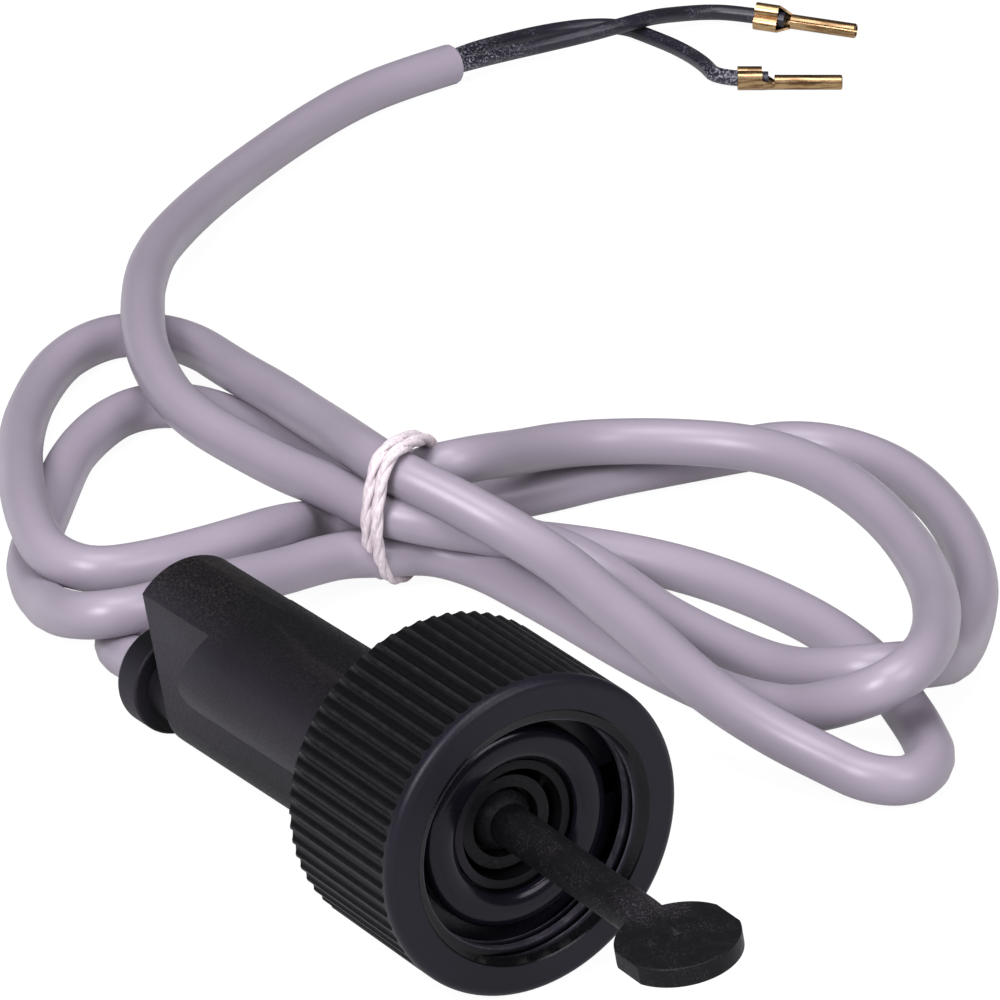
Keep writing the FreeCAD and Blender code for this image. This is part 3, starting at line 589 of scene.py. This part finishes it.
class Finishes:
    """All finishes of the switch, one material for each slot."""

    BLACK: Colour = (0.0045, 0.0044, 0.005)
    BLUE_BLACK: Colour = (0.0075, 0.0068, 0.0115)
    # Painted shade of the nut's flute valleys and thread roots.
    GROOVE_SHADE: Colour = (0.0012, 0.0012, 0.0016)
    # Dust and painted sheen on the nut's flute crests.
    RIDGE_DUST_AND_SHEEN: Colour = (0.011, 0.0107, 0.0118)
    # Dust and painted highlight on the nut's thread crests.
    THREAD_CREST_DUST_AND_HIGHLIGHT: Colour = (0.058, 0.055, 0.066)
    DUST: Colour = (0.16, 0.15, 0.16)
    GRIT: Colour = (0.15, 0.13, 0.115)
    # Painted light of the housing's near flat.
    NEAR_FLAT_LIGHT: Colour = (0.026, 0.0238, 0.032)

    def __init__(self) -> None:
        """Builds every material once."""
        recipes = {**self.plastics(), **self.skins(), **self.metals()}
        recipes[Slot.GLASS] = ClearGlass()
        recipes[Slot.CORE] = TalcedCore()
        recipes[Slot.STRING] = SpunString()
        self.made = {slot: recipe.make() for slot, recipe in recipes.items()}

    def plastics(self) -> dict[Slot, Finish]:
        """Recipes of the black mouldings."""
        return {
            Slot.HOUSING: HandledPlastic("housing_nylon", self.BLACK, self.NEAR_FLAT_LIGHT, self.GRIT),
            Slot.NUT: FlutedPlastic(
                "nut_nylon", self.BLUE_BLACK, self.GROOVE_SHADE, self.RIDGE_DUST_AND_SHEEN, self.THREAD_CREST_DUST_AND_HIGHLIGHT
            ),
            Slot.RING: MouldedPlastic(
                "ring_nylon", self.BLUE_BLACK, self.DUST,
                roughness=0.34, grain=Pattern(2400.0, 4.0), specks=0.05, gloss=0.25,
            ),
            Slot.PADDLE: MouldedPlastic(
                "paddle_nylon", self.BLACK, self.DUST,
                roughness=0.5, grain=Pattern(1600.0, 4.0), specks=0.17, gloss=0.14,
            ),
        }

    def skins(self) -> dict[Slot, Finish]:
        """Recipes of rubber, resin, board and cable jacket."""
        return {
            Slot.SEAL: SoftSkin(
                "seal_rubber", (0.005, 0.0048, 0.0085), (0.006, 0.0058, 0.01),
                roughness=0.16, ripple=0.00001, gloss=0.22,
            ),
            Slot.BOARD: SoftSkin(
                "board_laminate", (0.03, 0.16, 0.07), (0.02, 0.11, 0.05),
                roughness=0.4, ripple=0.00003,
            ),
            Slot.POTTING: SoftSkin(
                "potting_resin", (0.015, 0.014, 0.013), (0.02, 0.019, 0.018),
                roughness=0.2, ripple=0.00002,
            ),
            Slot.GROMMET: SoftSkin(
                "grommet_rubber", (0.014, 0.014, 0.015), (0.02, 0.02, 0.021),
                roughness=0.55, ripple=0.00004,
            ),
            Slot.JACKET: SoftSkin(
                "jacket_grey", (0.318, 0.288, 0.33), (0.292, 0.264, 0.303),
                roughness=0.34, ripple=0.00002,
            ),
        }

    def metals(self) -> dict[Slot, Finish]:
        """Recipes of magnet, steel, solder and gold."""
        return {
            Slot.MAGNET: BareMetal(
                "magnet_ferrite", (0.09, 0.09, 0.095), (0.06, 0.06, 0.06),
                roughness=0.5, metallic=0.6,
            ),
            Slot.STEEL: BareMetal("pin_steel", (0.6, 0.6, 0.6), (0.45, 0.44, 0.42), roughness=0.28),
            Slot.SOLDER: BareMetal(
                "joint_solder", (0.68, 0.68, 0.66), (0.5, 0.5, 0.48), roughness=0.32
            ),
            Slot.CONTACT: BareMetal(
                "contact_gold", (0.47, 0.325, 0.16), (0.17, 0.095, 0.045),
                roughness=0.3, lined=0.8, heading=48.0,
            ),
        }

    def dress(self, piece: bpy.types.Object, slot: Slot) -> None:
        """Gives a piece the finish of a slot.

        Args:
            piece: a new piece or a node of the frame.
            slot: the slot to take the finish from.
        """
        piece.data.materials.clear()
        piece.data.materials.append(self.made[slot])


@dataclass
class MouldedParts:
    """Nodes of the frame, each with the slot whose finish it wears."""

    wear: tuple[tuple[Slot, tuple[str, ...]], ...] = (
        (Slot.HOUSING, ("switch_housing",)),
        (Slot.NUT, ("union_nut",)),
        (Slot.RING, ("split_ring",)),
        (Slot.SEAL, ("face_seal",)),
        (Slot.PADDLE, ("paddle_lever",)),
        (Slot.MAGNET, ("lever_magnet", "return_magnet")),
        (Slot.STEEL, ("pivot_pin", "reed_wire_front", "reed_wire_rear")),
        (Slot.BOARD, ("reed_board",)),
        (Slot.GLASS, ("reed_capsule",)),
        (Slot.SOLDER, ("solder_joints",)),
        (Slot.POTTING, ("potting_plug",)),
        (Slot.GROMMET, ("cable_grommet",)),
        (Slot.JACKET, ("cable_lead", "cable_hank", "cable_tail")),
        (Slot.CORE, ("inner_core_1", "inner_core_2", "tail_core_1", "tail_core_2")),
        (Slot.CONTACT, ("crimp_contact_1", "crimp_contact_2")),
        (Slot.STRING, ("string_tie",)),
    )

    def dress(self, finishes: Finishes) -> None:
        """Gives every node its finish."""
        for slot, names in self.wear:
            for name in names:
                finishes.dress(frame["nodes"][name], slot)


def new_curve(name: str, diameter: float, sides: int) -> bpy.types.Curve:
    """Starts a curve in space with a round section.

    Args:
        name: the curve's name.
        diameter: outside diameter.
        sides: bevel resolution of its round section.

    Returns:
        The curve, with no spline yet.
    """
    data = bpy.data.curves.new(name, "CURVE")
    data.dimensions = "3D"
    data.bevel_depth = diameter / 2 * MM
    data.bevel_resolution = sides
    return data


def add_spline(data: bpy.types.Curve, route: list[Vector], steps: int) -> bpy.types.Spline:
    """Adds a smooth spline to a curve.

    Args:
        data: the curve.
        route: its control points.
        steps: points of the line to each control point.

    Returns:
        The spline, open and with free ends.
    """
    spline = data.splines.new("NURBS")
    spline.points.add(len(route) - 1)
    for knot, spot in zip(spline.points, route):
        knot.co = (*(spot * MM), 1.0)
    spline.order_u = SPLINE_ORDER
    spline.resolution_u = steps
    return spline


def cord_curve(
    name: str, route: Route, diameter: float, sides: int, steps: int
) -> bpy.types.Object:
    """Makes a round cord on one smooth spline.

    Args:
        name: the piece's name.
        route: control points.
        diameter: outside diameter.
        sides: bevel resolution of its round section.
        steps: points of the line to each control point.

    Returns:
        The curve object, at the origin.
    """
    data = new_curve(name, diameter, sides)
    add_spline(data, [Vector(spot) for spot in route], steps).use_endpoint_u = True
    data.use_fill_caps = True
    piece = bpy.data.objects.new(name, data)
    bpy.context.scene.collection.objects.link(piece)
    return piece


def spline_length(piece: bpy.types.Object) -> float:
    """Length of a cord's own line in metres."""
    return piece.data.splines[0].calc_length(resolution=LENGTH_STEPS)


@dataclass
class TiedCable:
    """Grey two-core cable, folded into a tied figure of eight, with its two black cores."""

    diameter: float = 6.4
    core_diameter: float = 2.5
    sides: int = 6
    core_sides: int = 5
    steps: int = 6
    lead: Route = (
        (-64.5, 1.9, 7.3), (-75, 2.2, 5.3), (-82, 4.6, 3.9), (-88, 9.8, 3.3), (-91, 17.4, 3.2),
        (-91.4, 26, 3.2), (-90.6, 34.6, 3.2), (-90.2, 43, 3.5), (-88, 51.4, 4),
    )
    first_right: Route = (
        (-84, 60, 4.1), (-79.6, 68.4, 3.4), (-71.6, 75.6, 3.2), (-63, 80.8, 3.2),
        (-52.8, 84.4, 3.2), (-40.6, 86.3, 3.2), (-29.8, 86.4, 3.2), (-20.3, 84.7, 3.2),
        (-9.8, 81.2, 3.2), (-2.1, 78.4, 3.2), (5, 75, 3.2), (9, 68.5, 3.4), (6, 63.6, 4),
        (0.5, 61.4, 5), (-7.5, 57.4, 7.2), (-19.5, 55.2, 9.4), (-35, 57.4, 10),
        (-47.6, 58.6, 10.3), (-58.5, 59.9, 10.6), (-68.6, 57.4, 12.6), (-75.6, 53.2, 15.4),
        (-82.4, 49.2, 17.5),
    )
    first_left: Route = (
        (-89.4, 49.4, 17.4), (-97.4, 51.4, 15.9), (-108, 54.6, 13.4), (-118.6, 56.8, 11.6),
        (-128.2, 58.7, 10.2), (-138, 60, 8.8), (-148.8, 62.6, 6.6), (-159.6, 65.4, 4.4),
        (-168.6, 65, 3.2), (-172.6, 60, 3.2), (-172.2, 54, 3.2), (-168.4, 46.8, 3.2),
        (-161, 39, 3.2), (-151.1, 31, 4), (-136.5, 21.8, 6.6), (-119.7, 12.6, 9.4),
        (-107.8, 7.2, 10), (-98.6, 4.6, 10), (-91.6, 7, 10),
    )
    second_right: Route = (
        (-90.2, 14.6, 9.8), (-90.2, 22, 9.6), (-90.8, 30.1, 9.4), (-94.2, 38, 7.8),
        (-98.2, 45, 5), (-97, 50.4, 4.8), (-92, 53, 9.6), (-87.4, 55.3, 14.3), (-84, 59.2, 15.9),
        (-85.6, 65.2, 14.7), (-88.6, 72.6, 12.4), (-90.6, 80, 10.9), (-90.2, 87.8, 9.8),
        (-85, 96.4, 9.7), (-77.3, 104.4, 9.7), (-67, 108, 9.7), (-53.4, 107.2, 9.7),
        (-39.6, 103.4, 9.8), (-27.3, 98, 10.4), (-12.5, 88.4, 13.4), (0.5, 77.2, 16),
        (3.4, 68.6, 14.8), (-3.8, 65.4, 10.2), (-12.8, 65.2, 5.6), (-24, 63.3, 3.4),
        (-35.3, 61.8, 3.2), (-45.9, 60.9, 3.2), (-57, 60.6, 3.2), (-66.4, 60, 3.3),
        (-75.6, 58.4, 4), (-82, 54.4, 4.8), (-83.4, 48.2, 5.3),
    )
    second_left: Route = (
        (-84.8, 42.4, 6.2), (-83.4, 36.6, 7.1), (-81.4, 30, 8), (-79.6, 22, 9.4),
        (-76.8, 12, 10.8), (-75, 4, 11.6), (-78, -1.8, 11), (-86, -1.2, 8.2), (-95.7, 2, 4.8),
        (-104.8, 5.3, 3.3), (-112.4, 9, 3.2), (-121, 16.3, 3.2), (-130.3, 24.1, 3.2),
        (-138.4, 31, 3.2), (-144.2, 38.1, 3.2), (-148, 44.8, 3.2), (-148.2, 50.4, 3.2),
        (-144.6, 55.2, 3.2), (-137.2, 57.5, 3.3),
    )
    third_right: Route = (
        (-128, 57.6, 3.8), (-118, 56.6, 4.6), (-107, 56, 4.8), (-99.4, 58.2, 4.6),
        (-95.4, 64.6, 3.9), (-93.7, 73, 3.3), (-92.8, 81, 3.2), (-92.5, 90.3, 3.2),
        (-91, 99.9, 3.2), (-89.6, 109.2, 3.2), (-88, 118, 3.2), (-81.6, 123.6, 3.2),
        (-71.6, 125.4, 3.2), (-58.7, 123, 3.2), (-46.3, 118.1, 3.2), (-33.8, 110.7, 3.2),
        (-23.8, 101.8, 3.2), (-15.4, 93.2, 4.6), (-8.6, 83.8, 9.2), (-9.6, 75.6, 10.4),
        (-16, 72.6, 8), (-24.6, 72, 5), (-35.2, 71.9, 3.4), (-44.7, 70.9, 3.2),
        (-52.3, 70.6, 3.2), (-60, 70.2, 4.2), (-67.4, 67, 7), (-73.4, 59.4, 9.4),
        (-78.4, 51.4, 11), (-83.4, 47, 11.8),
    )
    tail: Route = (
        (-90, 46.2, 11.9), (-96, 46, 11.5), (-104, 45.4, 10.7), (-114.3, 45.4, 10),
        (-125.5, 45, 9.8), (-136, 46.2, 9.8), (-148, 50.2, 10), (-155.6, 53.7, 10),
        (-164, 58.4, 10), (-174, 64.7, 9.4), (-186, 73.7, 8), (-197.4, 84.9, 6.2),
        (-208.2, 97.3, 4.6), (-217.8, 110.7, 3.6), (-226.4, 124.9, 3.2), (-232.6, 138, 3.2),
        (-235.6, 149, 3.2), (-236.8, 158.8, 3.2),
    )
    core_1: Route = (
        (-238, 157.4, 3.2), (-240.6, 163.8, 3), (-243, 172.8, 2.1), (-244.4, 182, 1.4),
        (-243, 189.3, 1.27), (-239.6, 193.6, 1.27), (-234.6, 194.4, 1.27), (-227, 195.4, 1.3),
        (-218.6, 194.6, 1.5), (-211.57, 192.13, 1.68), (-207.15, 198.8, 1.68),
    )
    core_2: Route = (
        (-235.4, 157.6, 3.2), (-236.2, 161.6, 3), (-237.6, 169, 2.4), (-237, 176.8, 2.6),
        (-235, 183.8, 3.5), (-234, 189.4, 4.2), (-235, 196, 3.9), (-236.2, 202.4, 2.7),
        (-235.6, 207.2, 2.2), (-232.45, 210.5, 2.31), (-226.33, 215.64, 1.93),
    )

    def cable_route(self) -> Route:
        """Control points of the whole cable, from the collar to its cut end."""
        return (
            self.lead + self.first_right + self.first_left + self.second_right
            + self.second_left + self.third_right + self.tail
        )

    def build(self, finishes: Finishes, string: bpy.types.Object) -> list[bpy.types.Object]:
        """Args:
            finishes: the materials.
            string: the string round the hank, which stays with the cable. Not used.

        Returns:
            The new pieces.
        """
        cable = cord_curve("grey_cable", self.cable_route(), self.diameter, self.sides, self.steps)
        cores = [
            cord_curve(name, route, self.core_diameter, self.core_sides, self.steps)
            for name, route in (("black_core_1", self.core_1), ("black_core_2", self.core_2))
        ]
        finishes.dress(cable, Slot.JACKET)
        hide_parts("cable_lead", "cable_hank", "cable_tail")
        for number, core in enumerate(cores, start=1):
            finishes.dress(core, Slot.CORE)
            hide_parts(f"tail_core_{number}")
        for piece in [cable, *cores]:
            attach(piece, Body.HOUSING.value)
        return [cable, *cores]


@dataclass
class StringTie:
    """White string: two turns side by side round the hank, each spun from three plies.

    The loop's points are (across, ahead, up) from the middle, with ahead along the bundle.
    """

    diameter: float = 1.8
    ply_diameter: float = 1.12
    ply_sides: int = 3
    plies: int = 3
    lay: float = 13.0
    steps: int = 12
    turn_shifts: Range = (-0.5, 0.5)
    phase_parts: float = 6.0
    middle: Point = (-82.5, 50.8, 0.0)
    heading: float = 15.0
    loop: Route = (
        (8.6, -3.6, 17.2), (6.4, -2.6, 19.3), (3.4, -1.4, 20.7), (0.2, -0.5, 21.4),
        (-2.9, 0, 21.5), (-5, 0, 20.2), (-5.9, 0, 17.8), (-6.6, 0, 15.2), (-7, 0, 12.2),
        (-6.6, -0.2, 9), (-5.6, -0.6, 5.9), (-3.6, -1.2, 2.9), (-0.4, -2, 1), (3.4, -2.8, 0.95),
        (7, -3.4, 1.2), (9.6, -3.8, 4.6), (10, -4, 9), (9.6, -4, 13.6),
    )

    def build(self, finishes: Finishes) -> bpy.types.Object:
        """Makes the string in place of its plain tubes.

        Args:
            finishes: the materials.

        Returns:
            The string.
        """
        data = new_curve("white_string", self.ply_diameter, self.ply_sides)
        bearing = math.radians(self.heading)
        along = Vector((math.cos(bearing), math.sin(bearing), 0.0))
        for shift in self.turn_shifts:
            line = self.turn_line(along, shift * self.diameter)
            for ply in range(self.plies):
                phase = math.tau * (ply / self.plies + shift / self.phase_parts)
                self.add_ply(data, line, along, phase)
        piece = bpy.data.objects.new("white_string", data)
        bpy.context.scene.collection.objects.link(piece)
        finishes.dress(piece, Slot.STRING)
        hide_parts("string_tie")
        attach(piece, Body.HOUSING.value)
        return piece

    def turn_line(self, along: Vector, shift: float) -> list[Vector]:
        """Reads one closed turn from a smooth spline round the hank.

        Args:
            along: direction of the bundle.
            shift: place of the turn along the bundle.

        Returns:
            The turn's points in metres.
        """
        axes = Matrix(((-along.y, along.x, 0.0), along, (0.0, 0.0, 1.0))).transposed()
        offset = Vector((0.0, shift, 0.0))
        route = [Vector(self.middle) + axes @ (Vector(spot) + offset) for spot in self.loop]
        data = new_curve("string_line", 0.0, 0)
        add_spline(data, route, self.steps).use_cyclic_u = True
        guide = bpy.data.objects.new("string_line", data)
        mesh = bpy.data.meshes.new_from_object(guide)
        line = [vertex.co.copy() for vertex in mesh.vertices]
        bpy.data.objects.remove(guide)
        bpy.data.curves.remove(data)
        bpy.data.meshes.remove(mesh)
        return line

    def add_ply(
        self, data: bpy.types.Curve, line: list[Vector], along: Vector, phase: float
    ) -> None:
        """Winds one ply round a turn's line.

        Args:
            data: the string's curve, which gets the ply.
            line: points of the turn.
            along: direction of the bundle.
            phase: angle at which the ply starts.
        """
        count = len(line)
        steps = [(line[(i + 1) % count] - line[i]).length for i in range(count)]
        twists = round(sum(steps) / (self.lay * MM))
        reach = (self.diameter - self.ply_diameter) / 2 * MM
        spline = data.splines.new("POLY")
        spline.points.add(count - 1)
        walked = 0.0
        for i, knot in enumerate(spline.points):
            ahead = (line[(i + 1) % count] - line[i - 1]).normalized()
            outward = ahead.cross(along)
            angle = phase + math.tau * twists * walked / sum(steps)
            offset = (along * math.cos(angle) + outward * math.sin(angle)) * reach
            knot.co = (*(line[i] + offset), 1.0)
            walked += steps[i]
        spline.use_cyclic_u = True


@dataclass
class ThreadRidge:
    """Thread in the mouth of the union nut: one ridge that winds in from the mouth's chamfer."""

    face: float = 24.891
    axis_height: float = 21.0
    pitch: float = 2.309
    turns: int = 3
    steps: int = 96
    crest_radius: float = 15.15
    root_radius: float = 16.7
    crest_width: float = 0.95
    root_width: float = 1.95
    first_crest: float = 1.5
    mouth_radius: float = 17.1
    mouth_inset: float = 0.1
    depth: float = 4.25
    chamfer: float = 0.8
    profile_sides: int = 4
    smooth_angle: float = 25.0

    def build(self, finishes: Finishes) -> bpy.types.Object:
        """Makes the ridge, which turns with the nut.

        Args:
            finishes: the materials.

        Returns:
            The ridge.
        """
        ridge = self.draw_profile()
        self.wind(ridge)
        for vertex in ridge.data.vertices:
            vertex.co = self.trimmed(vertex.co)
        bpy.ops.object.shade_smooth_by_angle(angle=math.radians(self.smooth_angle))
        finishes.dress(ridge, Slot.NUT)
        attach(ridge, Body.NUT.value)
        return ridge

    def draw_profile(self) -> bpy.types.Object:
        """Makes the ridge's section: four edges with no face, wider at the root."""
        bpy.ops.object.select_all(action="DESELECT")
        bpy.ops.mesh.primitive_plane_add(size=1.0, location=(0.0, 0.0, 0.0))
        ridge = bpy.context.object
        ridge.name = "nut_thread"
        for vertex in ridge.data.vertices:
            at_crest = vertex.co.y < 0
            width = self.crest_width if at_crest else self.root_width
            radius = self.crest_radius if at_crest else self.root_radius
            place = self.first_crest + math.copysign(width / 2, vertex.co.x)
            vertex.co = Vector((place, radius, 0.0)) * MM
        bpy.ops.object.mode_set(mode="EDIT")
        bpy.ops.mesh.select_all(action="SELECT")
        bpy.ops.mesh.delete(type="ONLY_FACE")
        bpy.ops.object.mode_set(mode="OBJECT")
        return ridge

    def wind(self, ridge: bpy.types.Object) -> None:
        """Winds the section along the nut's axis and closes its two ends."""
        screw = ridge.modifiers.new("wind", "SCREW")
        screw.axis = "X"
        screw.screw_offset = -self.pitch * MM
        screw.iterations = self.turns
        screw.steps = self.steps
        screw.render_steps = self.steps
        bpy.ops.object.modifier_apply(modifier=screw.name)
        bpy.ops.object.mode_set(mode="EDIT")
        bpy.ops.mesh.select_all(action="SELECT")
        bpy.ops.mesh.fill_holes(sides=self.profile_sides)
        bpy.ops.mesh.normals_make_consistent(inside=False)
        bpy.ops.object.mode_set(mode="OBJECT")

    def trimmed(self, spot: Vector) -> Vector:
        """Place of a vertex in the nut, kept between the mouth's chamfer and the thread's end."""
        x = min(max(spot.x, -self.depth * MM), -self.mouth_inset * MM)
        share = max(1.0 + x / (self.chamfer * MM), 0.0)
        least = (self.crest_radius + (self.mouth_radius - self.crest_radius) * share) * MM
        grow = max(least / math.hypot(spot.y, spot.z), 1.0)
        return Vector((x + self.face * MM, spot.y * grow, spot.z * grow + self.axis_height * MM))


@dataclass(frozen=True)
class Lamp:
    """One square soft lamp: its place and size in metres, and its power in watts."""

    name: str
    spot: Point
    size: float
    power: float


@dataclass
class Studio:
    """White table, soft lamps and the camera of the photograph, placed in metres."""

    floor_half: float = 3.0
    floor_grey: Colour = (0.58, 0.58, 0.58)
    floor_glow: float = 1.12
    floor_glow_share: float = 0.85
    mirrored_share: float = 0.35
    white: Colour = (1.0, 1.0, 1.0)
    sky_light: float = 0.12
    lamps: tuple[Lamp, ...] = (
        Lamp("soft_lamp_1", (0.4, -1.0, 0.85), 0.6, 19.5),
        Lamp("soft_lamp_2", (1.0, 0.3, 0.9), 0.7, 8.7),
        Lamp("soft_lamp_3", (0.1, -0.1, 1.4), 0.8, 13.0),
    )
    lamp_tint: Colour = (0.955, 0.91, 1.0)
    aim: Point = (-0.06, 0.04, 0.0)
    lens: float = 288.0
    sensor: float = 36.0
    view_depth: float = 20.0
    spot: Point = (0.7449, -0.4816, 0.4562)
    right: Point = (0.55186, 0.83393, 0.0)
    up: Point = (-0.34251, 0.22666, 0.91176)

    def build(self) -> None:
        """Sets up floor, lamps, world and camera."""
        self.lay_floor()
        for lamp in self.lamps:
            self.hang(lamp)
        self.paint_world()
        self.set_camera()
        bpy.context.scene.view_settings.view_transform = "Standard"

    def lay_floor(self) -> None:
        """White floor that stays white to the camera and keeps a faint shadow."""
        bpy.ops.object.select_all(action="DESELECT")
        bpy.ops.mesh.primitive_plane_add(size=2 * self.floor_half, location=(0.0, 0.0, 0.0))
        floor = bpy.context.object
        floor.name = "white_table"
        web = Web("table_white")
        camera, through, mirror = (
            web.add("ShaderNodeLightPath", {}, {}, ray)
            for ray in ("Is Camera Ray", "Is Transmission Ray", "Is Glossy Ray")
        )
        seen = (camera + through + mirror * self.mirrored_share) * self.floor_glow_share
        matt = web.add("ShaderNodeBsdfDiffuse", {}, {"Color": self.floor_grey})
        light = {"Color": self.white, "Strength": self.floor_glow}
        glow = web.add("ShaderNodeEmission", {}, light)
        both = web.add("ShaderNodeMixShader", {}, {0: seen, 1: matt, 2: glow})
        web.tree.links.new(both.socket, web.output.inputs["Surface"])
        floor.data.materials.append(web.material)

    def hang(self, lamp: Lamp) -> None:
        """Hangs one lamp so that it looks at the object."""
        data = bpy.data.lights.new(lamp.name, "AREA")
        data.size = lamp.size
        data.energy = lamp.power
        data.color = self.lamp_tint
        shade = bpy.data.objects.new(lamp.name, data)
        shade.location = lamp.spot
        gaze = Vector(self.aim) - Vector(lamp.spot)
        shade.rotation_euler = gaze.to_track_quat("-Z", "Y").to_euler()
        bpy.context.scene.collection.objects.link(shade)

    def paint_world(self) -> None:
        """Even white surroundings, dimmer as light than they look."""
        world = bpy.data.worlds.new("studio_white")
        world.use_nodes = True
        tree = world.node_tree
        light_path = tree.nodes.new("ShaderNodeLightPath")
        shine = tree.nodes["Background"]
        shine.inputs["Color"].default_value = (*self.white, 1.0)
        total = tree.nodes.new("ShaderNodeMath")
        total.operation = "MULTIPLY_ADD"
        tree.links.new(light_path.outputs["Is Camera Ray"], total.inputs[0])
        total.inputs[1].default_value = 1.0 - self.sky_light
        total.inputs[2].default_value = self.sky_light
        tree.links.new(total.outputs[0], shine.inputs["Strength"])
        bpy.context.scene.world = world

    def set_camera(self) -> None:
        """Camera at the photograph's place."""
        data = bpy.data.cameras.new("photo_camera")
        data.lens = self.lens
        data.sensor_width = self.sensor
        data.clip_end = self.view_depth
        camera = bpy.data.objects.new("photo_camera", data)
        right = Vector(self.right).normalized()
        up = Vector(self.up).normalized()
        turn = Matrix((right, up, right.cross(up))).transposed().to_4x4()
        camera.matrix_world = Matrix.Translation(Vector(self.spot)) @ turn
        bpy.context.scene.collection.objects.link(camera)
        bpy.context.scene.camera = camera


def main() -> None:
    """Builds the pieces in order and reports each."""
    logging.basicConfig(level=logging.INFO, format="%(name)s: %(message)s")
    finishes = Finishes()
    MouldedParts().dress(finishes)
    log.info("nodes dressed: %d", len(frame["nodes"]))
    string = StringTie().build(finishes)
    for piece in TiedCable().build(finishes, string):
        log.info("%s: %.3f m", piece.name, spline_length(piece))
    ridge = ThreadRidge().build(finishes)
    log.info("%s: %d faces", ridge.name, len(ridge.data.polygons))
    Studio().build()


if __name__ == "__main__":
    main()
